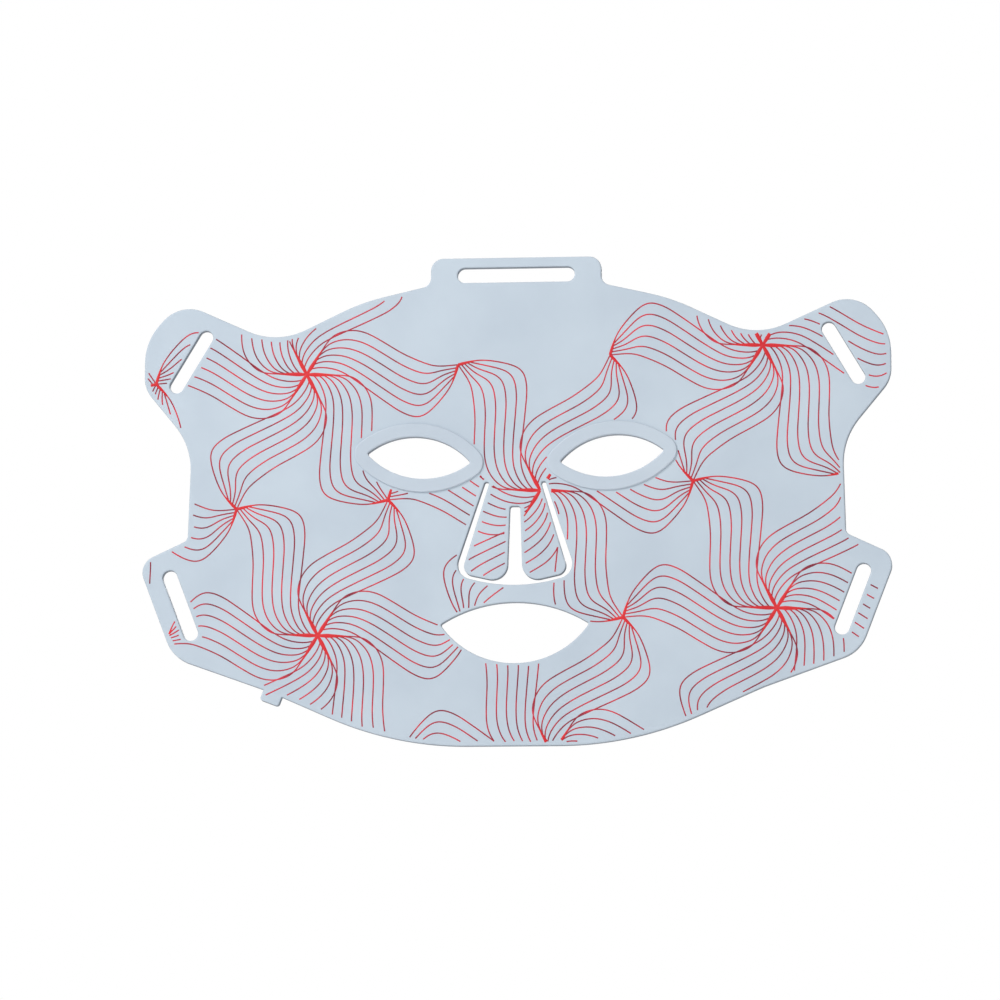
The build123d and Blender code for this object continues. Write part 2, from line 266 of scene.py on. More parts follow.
def smoothed(loop, step=OUTLINE_STEP):
    """The loop with arcs in place of its chords, in short even steps, corners kept."""
    chord = np.roll(loop, -1, 0) - loop
    length = np.linalg.norm(chord, axis=1)
    way = chord / length[:, None]
    points = []
    leaving, arriving = [], []
    for i in range(len(loop)):
        before, after = way[i - 1], way[i]
        turn = math.acos(max(-1.0, min(1.0, float(before @ after))))
        if turn > SHARP_TURN:
            arriving.append(before)
            leaving.append(after)
            continue
        if length[i - 1] > LONG_CHORD * length[i]:
            tangent = before
        elif length[i] > LONG_CHORD * length[i - 1]:
            tangent = after
        else:
            tangent = before * length[i] + after * length[i - 1]
        tangent = tangent / np.linalg.norm(tangent)
        arriving.append(tangent)
        leaving.append(tangent)
    for i in range(len(loop)):
        follower = (i + 1) % len(loop)
        pieces = max(1, round(length[i] / step))
        for t in np.arange(pieces) / pieces:
            start = (2 * t ** 3 - 3 * t ** 2 + 1) * loop[i]
            end = (3 * t ** 2 - 2 * t ** 3) * loop[follower]
            out = (t ** 3 - 2 * t ** 2 + t) * length[i] * leaving[i]
            back = (t ** 3 - t ** 2) * length[i] * arriving[follower]
            points.append(start + end + out + back)
    return np.array(points)


def distance_to(samples, points, block_size=500):
    """Distance from each point to the nearest sample."""
    nearest = np.empty(len(points))
    for start in range(0, len(points), block_size):
        block = slice(start, start + block_size)
        apart = points[block, None, :] - samples[None, :, :]
        nearest[block] = np.sqrt(np.min(np.sum(apart ** 2, axis=2), axis=1))
    return nearest


def middle_of(points):
    """Middle of the box round some points."""
    return (np.min(points, axis=0) + np.max(points, axis=0)) / 2


def material_on_left(loops):
    """The loops turned so that the sheet is on the left of each, the outer loop first."""
    loops = sorted(loops, key=lambda loop: -abs(area_of(loop)))
    outer, holes = loops[0], loops[1:]
    outer = outer if area_of(outer) > 0 else outer[::-1]
    return [outer] + [hole if area_of(hole) < 0 else hole[::-1] for hole in holes]


def inward(loop):
    """For each point of a loop, the step into the material that insets the loop by one."""
    way = np.roll(loop, -1, 0) - loop
    way = way / np.linalg.norm(way, axis=1)[:, None]
    after = np.stack([-way[:, 1], way[:, 0]], axis=1)
    before = np.roll(after, 1, 0)
    middle = before + after
    middle = middle / np.linalg.norm(middle, axis=1)[:, None]
    share = np.maximum(LEAST_SHARE, np.sum(middle * after, axis=1))
    return middle / share[:, None]


def arc_steps(radius):
    """How many steps a rounded edge is made in: none if it is sharp, one if it is small."""
    if radius == 0:
        return 0
    return 1 if radius <= SEAM_RADIUS else 3


def edge_section(front, back, front_radius, back_radius):
    """Section of an edge from its front flat to its back flat, as (inset, depth) pairs."""
    ends = []
    for radius, depth, turn in ((front_radius, front, 1), (back_radius, back, -1)):
        steps = arc_steps(radius)
        arc = [(radius + SUPPORT_WIDTH, depth)]
        for k in range(steps + 1):
            angle = math.pi / 2 * k / max(1, steps)
            inset = radius * (1 - math.sin(angle))
            arc.append((inset, depth + turn * radius * (1 - math.cos(angle))))
        ends.append(arc)
    return ends[0] + ends[1][::-1]


# ---------------- regions and lattice

def rim_loops(rim):
    """The outer and the inner loop of an eye rim."""
    edges = flat_outline(rim, FRONT)
    loops = chained(edges, {key: np.array(key) for edge in edges for key in edge})
    return [smoothed(loop, RIM_STEP) for loop in material_on_left(loops)]


outline = [smoothed(loop) for loop in material_on_left(joined_outline())]
rim_outlines = {rim: rim_loops(rim) for rim in ("eye_rim_left", "eye_rim_right")}


def is_eye(loop):
    """True for the loop of an eye opening, which has the same middle as its rim's."""
    apart = [middle_of(loop) - middle_of(inner) for outer, inner in rim_outlines.values()]
    return min(np.linalg.norm(step) for step in apart) < SAME_PLACE


def is_nose(loop):
    """True for the loop of the nose opening, which crosses the middle below the eyes."""
    low, high = loop.min(0), loop.max(0)
    return low[0] < 0 < high[0] and low[1] < NOSE_LEVEL < high[1] < 0


nose_loop = next(loop for loop in outline[1:] if is_nose(loop))


def nose_hull():
    """Convex outline round the nose opening, which both lobes lie inside."""
    flat = bmesh.new()
    for x, z in nose_loop:
        flat.verts.new((x, z, 0))
    found = bmesh.ops.convex_hull(flat, input=flat.verts)["geom_interior"]
    kept = [v.co.xy for v in flat.verts if v not in found]
    centre = np.mean(kept, axis=0)
    kept = sorted(kept, key=lambda p: math.atan2(p[1] - centre[1], p[0] - centre[0]))
    flat.free()
    return np.array(kept)


lobe_area = nose_hull()
fold_order = sorted(folds, key=lambda fold: list(FOLD_KINDS).index(fold.kind))


def region_of(points):
    """Which skin each point of the flat sheet belongs to, as a body's place in facet_bodies."""
    region = np.full(len(points), facet_bodies.index("centre"))
    for fold in fold_order:
        there = fold.beyond(points) > -fold.inboard
        if fold.kind == "tab":
            there &= fold.near_child(points, fold.inboard + TAB_MARGIN)
        if fold.kind == "lobe":
            there &= (points[:, 0] * fold.start[0] > 0) & inside(lobe_area, points)
        region[there] = facet_bodies.index(fold.child)
    return region


def fold_rows(fold):
    """Close rows of points along a fold, over its bend and where the skins are split."""
    steps = math.ceil(2 * fold.half_width / fold.step)
    across = [-fold.inboard]
    across += [(2 * k / steps - 1) * fold.half_width for k in range(steps + 1)]
    row = np.arange(-ROW_POINTS, ROW_POINTS) * fold.row_step
    centre = (fold.low + fold.high) / 2 - fold.start
    rows = []
    for distance in across:
        middle = fold.start + fold.along * (centre @ fold.along) + fold.normal * distance
        points = middle + row[:, None] * fold.along
        if fold.kind != "side":
            points = points[fold.near_child(points, fold.inboard + ROW_MARGIN)]
        rows.append(points)
    return np.concatenate(rows)


def coarse_grid(low, high):
    """A coarse grid of points with gaps where the folds have rows of their own."""
    x = np.arange(low[0], high[0], COARSE_STEP)
    z = np.arange(low[1], high[1], COARSE_STEP)
    grid = np.stack(np.meshgrid(x, z), axis=-1).reshape(-1, 2)
    for fold in folds:
        bend = np.abs(fold.beyond(grid)) < fold.half_width + COARSE_STEP / 2
        split = np.abs(fold.beyond(grid) + fold.inboard) < COARSE_STEP / 2
        near = (fold.kind == "side") | fold.near_child(grid, COARSE_MARGIN)
        grid = grid[~((bend | split) & near)]
    return grid


def lattice(rings):
    """Points inside the sheet: close rows along each fold, and a coarse grid elsewhere."""
    groups = [fold_rows(fold) for fold in folds]
    groups.append(coarse_grid(rings[0].min(0), rings[0].max(0)))
    points = np.concatenate(groups)
    kept = inside(rings[0], points)
    for ring in rings[1:]:
        kept &= ~inside(ring, points)
    points = points[kept]
    clear = distance_to(np.concatenate(rings), points) >= EDGE_CLEARANCE
    return thinned(points[clear])


def thinned(points):
    """The points without those that crowd an earlier one."""
    cells, kept = {}, []
    for point in points:
        cell = tuple(np.floor(point / CROWDED).astype(int))
        around = [(cell[0] + i, cell[1] + j) for i in (-1, 0, 1) for j in (-1, 0, 1)]
        near = [other for key in around for other in cells.get(key, [])]
        if all(np.sum((other - point) ** 2) > CROWDED ** 2 for other in near):
            cells.setdefault(cell, []).append(point)
            kept.append(point)
    return np.array(kept)


# ---------------- mesh making

def placed(name, data):
    """A new object in the scene."""
    new = bpy.data.objects.new(name, data)
    bpy.context.scene.collection.objects.link(new)
    return new


def mesh_of(name, work):
    """A new mesh from a bmesh, which is freed."""
    mesh = bpy.data.meshes.new(name)
    work.to_mesh(mesh)
    work.free()
    return mesh


def shade(mesh, sharp):
    """Smooth shading with sharp edges beyond an angle in degrees."""
    mesh.polygons.foreach_set("use_smooth", [True] * len(mesh.polygons))
    mesh.set_sharp_from_angle(angle=math.radians(sharp))


def mesh_object(name, vertices, faces, sharp=40.0):
    """A smooth-shaded closed mesh in metres, from vertices in millimetres."""
    mesh = bpy.data.meshes.new(name)
    mesh.from_pydata([tuple(c * MM for c in v) for v in vertices], [], faces)
    work = bmesh.new()
    work.from_mesh(mesh)
    bmesh.ops.recalc_face_normals(work, faces=work.faces)
    work.to_mesh(mesh)
    work.free()
    shade(mesh, sharp)
    return placed(name, mesh)


class Slab:
    """A flat layer of the sheet with shaped edges, which can be split into regions."""

    def __init__(self, loops, sections, filling=None):
        # The vertices, and the column of them at each point of the flat sheet.
        self.vertices = []
        self.columns = []
        for loop, section in zip(loops, sections):
            self.add_edge(loop, section)

        # The flats' own rings, inboard of the shaped edges, and the points between them.
        rings = [loop + inward(loop) * section[0][0] for loop, section in zip(loops, sections)]
        front, back = sections[0][0][1], sections[0][-1][1]
        flat = [tuple(point) for ring in rings for point in ring]
        extra = filling(rings) if filling else []
        for x, z in extra:
            flat.append((x, z))
            self.columns.append([len(self.vertices), len(self.vertices) + 1])
            self.vertices += [(x, front, z), (x, back, z)]
        self.fill(rings, flat)

    def add_edge(self, loop, section):
        """Adds the columns of one shaped edge."""
        into = inward(loop)
        columns = [[] for _ in loop]
        for inset, depth in section:
            for i, (x, z) in enumerate(loop + into * inset):
                columns[i].append(len(self.vertices))
                self.vertices.append((x, depth, z))
        self.columns += columns

    def fill(self, rings, flat):
        """Triangles of the flats, their middles, and the triangle to the left of each edge."""
        constraints = []
        ring_start = 0
        for ring in rings:
            count = len(ring)
            constraints += [(ring_start + i, ring_start + (i + 1) % count) for i in range(count)]
            ring_start += count
        spots = [Vector((float(x), float(z))) for x, z in flat]
        made = delaunay_2d_cdt(spots, constraints, [], INSIDE_ONLY, TOUCHING)
        came_from = [origin[0] for origin in made[3]]
        triangles = [tuple(came_from[i] for i in face) for face in made[2]]
        flat = np.array(flat)
        middle = np.array([flat[list(t)].mean(0) for t in triangles])
        kept = np.ones(len(triangles), bool)
        for ring in rings[1:]:
            kept &= ~inside(ring, middle)
        self.triangles = [t for t, keep in zip(triangles, kept) if keep]
        self.middle = middle[kept]
        self.owner = {}
        for index, (a, b, c) in enumerate(self.triangles):
            for edge in ((a, b), (b, c), (c, a)):
                self.owner[edge] = index
        self.border = [edge for edge in constraints if edge in self.owner]

    def faces(self, region, wanted):
        """The closed faces of one region, from the region of each triangle."""
        faces = []
        for triangle, place in zip(self.triangles, region):
            if place == wanted:
                faces.append([self.columns[i][0] for i in triangle])
                faces.append([self.columns[i][-1] for i in reversed(triangle)])

        # Walls where the sheet is split.
        for (a, b), index in self.owner.items():
            if region[index] != wanted:
                continue
            other = self.owner.get((b, a))
            if other is not None and region[other] != wanted:
                near, far = self.columns[a], self.columns[b]
                faces.append([near[-1], far[-1], far[0], near[0]])

        # The shaped edges, closed at their ends where a split reaches them.
        starts, ends = {}, {}
        for a, b in self.border:
            starts[a], ends[b] = region[self.owner[a, b]], region[self.owner[a, b]]
            if region[self.owner[a, b]] == wanted:
                near, far = self.columns[a], self.columns[b]
                for k in range(len(near) - 1):
                    faces.append([near[k + 1], far[k + 1], far[k], near[k]])
        for i, leaving in starts.items():
            if ends[i] != leaving and wanted in (ends[i], leaving):
                faces.append(list(self.columns[i]))
        return faces

    def piece(self, name, region, wanted):
        """A mesh object of one region."""
        faces = self.faces(region, wanted)
        used = sorted({i for face in faces for i in face})
        place = {old: new for new, old in enumerate(used)}
        vertices = [self.vertices[i] for i in used]
        return mesh_object(name, vertices, [[place[i] for i in face] for face in faces])


def attached(piece, body):
    """Rides on its body; where a fold joins that body to its parent, it is left unattached with its
    placement baked in.
    """
    fold = next((fold for fold in folds if fold.child == body), None)
    if fold is None:
        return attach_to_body(piece, body)
    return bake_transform(piece)


# ---------------- materials

def linear(red, green, blue):
    """Colour for a shader from the 0-255 values that it should look like."""
    def part(value):
        value = value / 255
        return value / 12.92 if value <= 0.04045 else ((value + 0.055) / 1.055) ** 2.4
    return (part(red), part(green), part(blue), 1.0)


materials = {}


class Paint:
    """A node material: a Principled shader whose colour, roughness and bump have detail."""

    def __init__(self, name, **values):
        self.material = bpy.data.materials.new(name)
        self.material.use_nodes = True
        materials[name] = self.material
        self.nodes, self.links = self.material.node_tree.nodes, self.material.node_tree.links
        self.shader = self.nodes["Principled BSDF"]
        self.place = self.nodes.new("ShaderNodeTexCoord").outputs["Object"]
        for socket, value in values.items():
            self.shader.inputs[socket.replace("_", " ")].default_value = value

    def noise(self, size, detail=3.0, stretch=(1.0, 1.0, 1.0)):
        """Noise whose grains are about that many millimetres across."""
        mapping = self.nodes.new("ShaderNodeMapping")
        mapping.inputs["Scale"].default_value = stretch
        self.links.new(self.place, mapping.inputs["Vector"])
        texture = self.nodes.new("ShaderNodeTexNoise")
        texture.inputs["Scale"].default_value = 1.0 / (size * MM)
        texture.inputs["Detail"].default_value = detail
        self.links.new(mapping.outputs["Vector"], texture.inputs["Vector"])
        return texture.outputs["Fac"]

    def cells(self, size):
        """Rounded cells about that many millimetres across."""
        texture = self.nodes.new("ShaderNodeTexVoronoi")
        texture.inputs["Scale"].default_value = 1.0 / (size * MM)
        self.links.new(self.place, texture.inputs["Vector"])
        return texture.outputs["Distance"]

    def colour(self, source, low, high):
        """Colour that runs from low to high over the middle of the source's range."""
        ramp = self.nodes.new("ShaderNodeValToRGB")
        first, last = ramp.color_ramp.elements
        first.position, last.position = 0.35, 0.65
        first.color, last.color = low, high
        self.links.new(source, ramp.inputs["Fac"])
        self.links.new(ramp.outputs["Color"], self.shader.inputs["Base Color"])

    def roughness(self, source, low, high):
        """Roughness that runs from low to high over the middle of the source's range."""
        spread = self.nodes.new("ShaderNodeMapRange")
        spread.inputs["From Min"].default_value, spread.inputs["From Max"].default_value = 0.3, 0.7
        spread.inputs["To Min"].default_value, spread.inputs["To Max"].default_value = low, high
        self.links.new(source, spread.inputs["Value"])
        self.links.new(spread.outputs["Result"], self.shader.inputs["Roughness"])

    def bump(self, source, height, strength=1.0):
        """Relief of a height in millimetres, added to any there already."""
        bump = self.nodes.new("ShaderNodeBump")
        bump.inputs["Distance"].default_value = height * MM
        bump.inputs["Strength"].default_value = strength
        self.links.new(source, bump.inputs["Height"])
        if self.shader.inputs["Normal"].is_linked:
            self.links.new(self.shader.inputs["Normal"].links[0].from_socket, bump.inputs["Normal"])
        self.links.new(bump.outputs["Normal"], self.shader.inputs["Normal"])


def silicone(name, low, high, rough):
    """Moulded silicone: faint clouding, a satin skin and a very fine grain."""
    paint = Paint(name, Specular_IOR_Level=0.42)
    paint.colour(paint.noise(38, 4), low, high)
    paint.roughness(paint.noise(6, 3), rough - 0.05, rough + 0.06)
    paint.bump(paint.noise(0.35, 4), 0.03, 0.5)
    paint.bump(paint.noise(9, 2), 0.12, 0.35)


def ink(name, low, high):
    """Printed ink: uneven cover along a line, smoother than the silicone round it."""
    paint = Paint(name, Specular_IOR_Level=0.4)
    paint.colour(paint.noise(9, 4), low, high)
    paint.roughness(paint.noise(2, 2), 0.42, 0.56)
    paint.bump(paint.noise(0.3, 3), 0.02, 0.4)


def mix_sheet_materials():
    """The moulded silicone, a darker copy of it that paints shade on the sheet's edge walls, and the
    ink on it.
    """
    silicone("printed_silicone", linear(189, 201, 213), linear(196, 208, 219), 0.5)
    silicone("rim_silicone", linear(190, 201, 213), linear(196, 207, 218), 0.42)
    silicone("skin_silicone", linear(206, 214, 221), linear(214, 221, 227), 0.55)
    # A darker silicone for the edge walls: painted shade, not a colour that the silicone has.
    silicone("wall_silicone", linear(124, 132, 144), linear(136, 144, 155), 0.5)
    ink("line_ink", linear(132, 28, 52), linear(218, 50, 68))
    ink("arm_ink", linear(208, 30, 40), linear(222, 42, 48))


def mix_part_materials():
    """The materials of the circuit, the lights and the inlet."""
    film = Paint("circuit_film", Specular_IOR_Level=0.5)
    film.colour(film.noise(7, 3), linear(236, 235, 228), linear(244, 243, 238))
    film.roughness(film.noise(3, 2), 0.3, 0.42)
    film.bump(film.cells(1.3), 0.02, 0.4)

    body = Paint("led_body", Specular_IOR_Level=0.5)
    body.colour(body.noise(0.8, 2), linear(226, 225, 218), linear(240, 239, 233))
    body.roughness(body.noise(0.6, 2), 0.38, 0.5)
    body.bump(body.noise(0.2, 3), 0.01, 0.5)

    glow = Paint("led_phosphor", Specular_IOR_Level=0.5)
    glow.colour(glow.noise(0.3, 3), linear(222, 176, 62), linear(240, 200, 96))
    glow.roughness(glow.noise(0.5, 2), 0.2, 0.32)

    lens = Paint("clear_lens", Alpha=0.2, IOR=1.41, Specular_IOR_Level=0.8)
    lens.colour(lens.noise(2.5, 2), linear(236, 240, 242), linear(246, 249, 250))
    lens.roughness(lens.noise(1.5, 2), 0.05, 0.12)
    lens.bump(lens.noise(0.8, 2), 0.01, 0.3)

    steel = Paint("socket_steel", Metallic=1.0)
    steel.colour(steel.noise(1.5, 3), linear(168, 170, 172), linear(196, 198, 200))
    steel.roughness(steel.noise(0.25, 4, (1, 1, 12)), 0.24, 0.4)
    steel.bump(steel.noise(0.12, 3, (1, 1, 10)), 0.006, 0.6)

    plastic = Paint("socket_insulator", Specular_IOR_Level=0.5)
    plastic.colour(plastic.noise(1, 3), linear(30, 31, 34), linear(42, 43, 46))
    plastic.roughness(plastic.noise(0.7, 2), 0.4, 0.55)
    plastic.bump(plastic.noise(0.15, 3), 0.01, 0.5)

    gold = Paint("contact_metal", Metallic=1.0)
    gold.colour(gold.noise(0.8, 2), linear(206, 166, 88), linear(226, 188, 112))
    gold.roughness(gold.noise(0.5, 3, (1, 1, 6)), 0.2, 0.34)

    chip = Paint("chip_body", Specular_IOR_Level=0.45)
    chip.colour(chip.noise(0.5, 3), linear(34, 35, 38), linear(46, 47, 50))
    chip.roughness(chip.noise(0.4, 3), 0.55, 0.7)
    chip.bump(chip.noise(0.1, 3), 0.01, 0.7)

    ceramic = Paint("capacitor_ceramic", Specular_IOR_Level=0.5)
    ceramic.colour(ceramic.noise(0.4, 3), linear(150, 116, 84), linear(170, 134, 98))
    ceramic.roughness(ceramic.noise(0.3, 2), 0.35, 0.5)
    ceramic.bump(ceramic.noise(0.1, 2), 0.008, 0.5)


mix_sheet_materials()
mix_part_materials()


def is_wall(polygon):
    """True for a face that gets painted shade: on the sheet's edge, with its seam, and not on its
    front or back.
    """
    at_seam = abs(polygon.center.y / MM - SEAM) < 2 * SEAM_RADIUS
    return at_seam or abs(polygon.normal.y) < WALL_SLOPE


def finished(piece, material, body, replaced=None, attach=attached):
    """Gives a new piece its material, hides what it replaces, and attaches it."""
    piece.data.materials.clear()
    piece.data.materials.append(materials[material])
    # Faces on the edge walls take the darker silicone, as painted shade.
    if material in ("printed_silicone", "skin_silicone"):
        piece.data.materials.append(materials["wall_silicone"])
        for polygon in piece.data.polygons:
            polygon.material_index = int(is_wall(polygon))
    if replaced:
        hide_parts(replaced)
    return attach(piece, body)


# ---------------- the two skins

def island_middles(node):
    """Middle of each separate solid of a node whose solids stand well apart."""
    groups = []
    for vertex in frame["nodes"][node].data.vertices:
        spot = np.array([vertex.co.x, vertex.co.z]) / MM
        group = next((g for g in groups if np.linalg.norm(g[0] - spot) < LIGHT_REACH), None)
        if group is None:
            groups.append([spot])
        else:
            group.append(spot)
    return [middle_of(group) for group in groups]


def window_loop(centre):
    """Loop round a window, with the sheet on its left."""
    turns = -2 * math.pi * np.arange(WINDOW_POINTS) / WINDOW_POINTS
    return centre + WINDOW_RADIUS * np.stack([np.cos(turns), np.sin(turns)], axis=1)


light_bodies = [body for body in facet_bodies if "lenses_" + body in frame["nodes"]]
lights = {body: island_middles("lenses_" + body) for body in light_bodies}
windows = [window_loop(place) for body in light_bodies for place in lights[body]]

plain_front = edge_section(FRONT, SEAM, FRONT_EDGE_RADIUS, SEAM_RADIUS)
eye_front = edge_section(FRONT, SEAM, 0, SEAM_RADIUS)
front_sections = [eye_front if is_eye(loop) else plain_front for loop in outline]
front_slab = Slab(outline, front_sections, lattice)

plain_back = edge_section(SEAM, SKIN, SEAM_RADIUS, SKIN_EDGE_RADIUS)
window_back = edge_section(SEAM, SKIN, 0, WINDOW_EDGE_RADIUS)
back_sections = [plain_back] * len(outline) + [window_back] * len(windows)
back_slab = Slab(outline + windows, back_sections, lattice)


CUTTER_OVERRUN = 0.6
MOUTH_DEPTH = 0.1
WELD_DISTANCE = 0.001


def corner_mean(node):
    """Mean of a node's vertices."""
    vertices = frame["nodes"][node].data.vertices
    return sum((v.co for v in vertices), Vector()) / len(vertices)


def inlet_cutter():
    """Solid that opens the sheet for the power socket, a little longer than the socket."""
    shell = frame["nodes"]["inlet_shell"].data
    out = corner_mean("inlet_shell") - corner_mean("inlet_tongue")
    out.normalize()
    work = bmesh.new()
    reach = max(v.co @ out for v in shell.vertices)
    for vertex in shell.vertices:
        at_mouth = vertex.co @ out > reach - MOUTH_DEPTH * MM
        work.verts.new(vertex.co + out * (CUTTER_OVERRUN * MM if at_mouth else 0.0))
    bmesh.ops.convex_hull(work, input=work.verts)
    inner = [v for v in work.verts if not v.link_faces]
    bmesh.ops.delete(work, geom=inner, context="VERTS")
    bmesh.ops.remove_doubles(work, verts=work.verts, dist=WELD_DISTANCE * MM)
    bmesh.ops.recalc_face_normals(work, faces=work.faces)
    return placed("inlet_cutter", mesh_of("inlet_cutter", work))


def cut(piece, cutter):
    """Takes the cutter out of the piece."""
    modifier = piece.modifiers.new("cut", "BOOLEAN")
    modifier.operation, modifier.solver, modifier.object = "DIFFERENCE", "EXACT", cutter
    bpy.context.view_layer.update()
    shaped = piece.evaluated_get(bpy.context.evaluated_depsgraph_get())
    mesh = bpy.data.meshes.new_from_object(shaped)
    piece.modifiers.clear()
    piece.data = mesh
    shade(mesh, sharp=40.0)


cutter = inlet_cutter()
for layer, slab in (("front", front_slab), ("back", back_slab)):
    region = region_of(slab.middle)
    slot = "printed_silicone" if layer == "front" else "skin_silicone"
    for index, body in enumerate(facet_bodies):
        sheet_piece = slab.piece(f"{layer}_sheet_{body}", region, index)
        if body == "left_side":
            cut(sheet_piece, cutter)
        finished(sheet_piece, slot, body, f"{layer}_cover_{body}")
bpy.data.objects.remove(cutter)


# ---------------- eye rims

for rim, loops in rim_outlines.items():
    rim_section = edge_section(RIM_FRONT, FRONT, RIM_EDGE_RADIUS, 0)
    rim_slab = Slab(loops, [rim_section, rim_section])
    everywhere = np.zeros(len(rim_slab.triangles), int)
    side = "left" if rim.endswith("left") else "right"
    ring = rim_slab.piece(f"raised_eye_rim_{side}", everywhere, 0)
    finished(ring, "rim_silicone", "centre", rim)


# ---------------- print on the front

# The print is a regular lattice of bundles of fine lines, which run from nodes with six
# arms to nodes with three. First, where it lies and how far it reaches.
PRINT_START = np.array([10.0, -13.6])
PRINT_PITCH = 105.5
PRINT_TURN = 32.9
PRINT_ROWS = 3
PRINT_HALF_SIZE = (240, 200)
PRINT_EDGE_GAP = 1.35
PRINT_HOLE_GAP = 0.85
PRINT_RIM_GAP = 0.45

# The ink: its width, its height with what is added for each next stroke and for an arm, how
# deep its foot is, how far its flat top reaches each way, as a share of its width, and the
# fewest points of a line that are printed.
LINE_WIDTH = 0.61
INK_HEIGHT = 0.045
INK_STEP = 0.003
ARM_LIFT = 0.02
INK_FOOT = 0.04
INK_TOP = 0.36
SHORTEST_RUN = 3

# Each kind of arm: how many points of its curve it covers, and its widths at the node and
# where it is widest. Then where that is, as a share of the way out, and the tip's width.
LONG_ARM = (12, 1.1, 1.9)
SHORT_ARM = (8, 1.3, 1.35)
WIDEST_AT = 0.3
TIP_WIDTH = 0.8 * LINE_WIDTH

# The arms of a node, the turn of its first bundle, and the lines of a bundle. Then how far
# out the first line leaves the long arm, how much further out each next one does, and how
# much further out each joins the short arm. The two curves, drawn here along x, are the
# outermost lines.
NODE_ARMS = 6
BUNDLE_TURN = 2.9
LINES = 6
FIRST_PEEL = 2.5
LONG_ARM_PEEL = 2.0
SHORT_ARM_PEEL = 1.3
CURVE_STEPS = 12
SMOOTHING_PASSES = 8
CREST = [(0, 0), (9.8, 13.8), (13.4, 15.9), (18, 16.9), (24, 15.7), (30.9, 11.5), (39.2, 5.8),
         (48.1, 1.3), (52.5, -0.1), (60.9, 0)]
TROUGH = [(0, 0), (4.9, 2.7), (12, 1.3), (16.9, -1.6), (23.9, -7.2), (31.6, -13.4), (39, -18.6),
          (46.4, -19.7), (57, -9.4), (60.9, 0)]


def turned(points, degrees):
    """The points turned anticlockwise about the origin."""
    angle = math.radians(degrees)
    matrix = np.array([[math.cos(angle), math.sin(angle)], [-math.sin(angle), math.cos(angle)]])
    return np.asarray(points, float) @ matrix


def curve(controls, step=1.1):
    """Smooth curve through the control points, in short even steps."""
    controls = np.asarray(controls, float)
    padded = np.vstack([2 * controls[0] - controls[1], controls, 2 * controls[-1] - controls[-2]])
    fine = []
    for p0, p1, p2, p3 in zip(padded, padded[1:], padded[2:], padded[3:]):
        for t in np.arange(CURVE_STEPS) / CURVE_STEPS:
            fine.append(0.5 * (2 * p1 + (p2 - p0) * t + (2 * p0 - 5 * p1 + 4 * p2 - p3) * t ** 2
                               + (3 * p1 - p0 - 3 * p2 + p3) * t ** 3))
    fine.append(controls[-1])
    fine = np.array(fine)
    run = np.concatenate([[0], np.cumsum(np.linalg.norm(np.diff(fine, axis=0), axis=1))])
    even = np.linspace(0, run[-1], max(2, round(run[-1] / step) + 1))
    points = np.stack([np.interp(even, run, fine[:, 0]), np.interp(even, run, fine[:, 1])], axis=1)
    for _ in range(SMOOTHING_PASSES):
        points[1:-1] = (points[:-2] + 2 * points[1:-1] + points[2:]) / 4
    return points


def arm_of(points, count, hub, widest):
    """An arm along the first points of a curve, with its widths."""
    widths = np.interp(np.linspace(0, 1, count), [0, WIDEST_AT, 1], [hub, widest, TIP_WIDTH])
    return points[:count], widths


def bundle_line(line):
    """One line of a bundle, which peels off one node's arm and runs into the other's."""
    share = line / (LINES - 1)
    crest, trough = np.array(CREST), np.array(TROUGH)
    controls = (1 - share) * crest + share * trough
    if line > 0:
        along = crest[1] / np.linalg.norm(crest[1])
        controls[0] = along * (FIRST_PEEL + LONG_ARM_PEEL * (LINES - 1 - line))
    if line < LINES - 1:
        along = (trough[-2] - trough[-1]) / np.linalg.norm(trough[-2] - trough[-1])
        controls[-1] = trough[-1] + along * SHORT_ARM_PEEL * line
    return curve(controls)


def print_nodes():
    """The nodes with six arms, without the one that would fill the plain forehead."""
    step_a = turned([(PRINT_PITCH, 0)], PRINT_TURN - 60)[0]
    step_b = turned([(PRINT_PITCH, 0)], PRINT_TURN)[0]
    blank = PRINT_START + step_b - step_a
    rows = range(-PRINT_ROWS, PRINT_ROWS + 1)
    nodes = [PRINT_START + i * step_a + j * step_b for i in rows for j in rows]
    near = [node for node in nodes if np.all(np.abs(node) <= PRINT_HALF_SIZE)]
    return [node for node in near if np.linalg.norm(node - blank) >= SAME_PLACE]


def print_strokes():
    """Every stroke of the print before it is trimmed: its points, widths, height and ink."""
    bundle = [bundle_line(line) for line in range(LINES)]
    arms = [arm_of(curve(CREST), *LONG_ARM), arm_of(curve(TROUGH)[::-1], *SHORT_ARM)]
    strokes = []
    for node in print_nodes():
        for k in range(NODE_ARMS):
            turn = BUNDLE_TURN + 360 / NODE_ARMS * k
            for line, points in enumerate(bundle):
                widths = np.full(len(points), LINE_WIDTH)
                height = INK_HEIGHT + INK_STEP * line
                strokes.append((node + turned(points, turn), widths, height, "line_ink"))
            height = INK_HEIGHT + ARM_LIFT + INK_STEP * k
            for points, widths in arms:
                strokes.append((node + turned(points, turn), widths, height, "arm_ink"))
    return strokes


def edge_samples(loops, step=0.5):
    """Points along loops, no further apart than the step."""
    samples = []
    for loop in loops:
        for start, end in zip(loop, np.roll(loop, -1, 0)):
            pieces = max(1, math.ceil(np.linalg.norm(end - start) / step))
            samples += [start + (end - start) * t for t in np.arange(pieces) / pieces]
    return np.array(samples)


sheet_edges = edge_samples(outline[:1])
hole_edges = edge_samples(outline[1:])
rim_edges = edge_samples([loops[0] for loops in rim_outlines.values()])


def printable(points):
    """True for the points where the print may lie."""
    allowed = inside(outline[0], points)
    for hole in outline[1:]:
        allowed &= ~inside(hole, points)
    for loops in rim_outlines.values():
        allowed &= ~inside(loops[0], points)
    allowed &= distance_to(sheet_edges, points) > PRINT_EDGE_GAP
    allowed &= distance_to(hole_edges, points) > PRINT_HOLE_GAP
    allowed &= distance_to(rim_edges, points) > PRINT_RIM_GAP
    return allowed


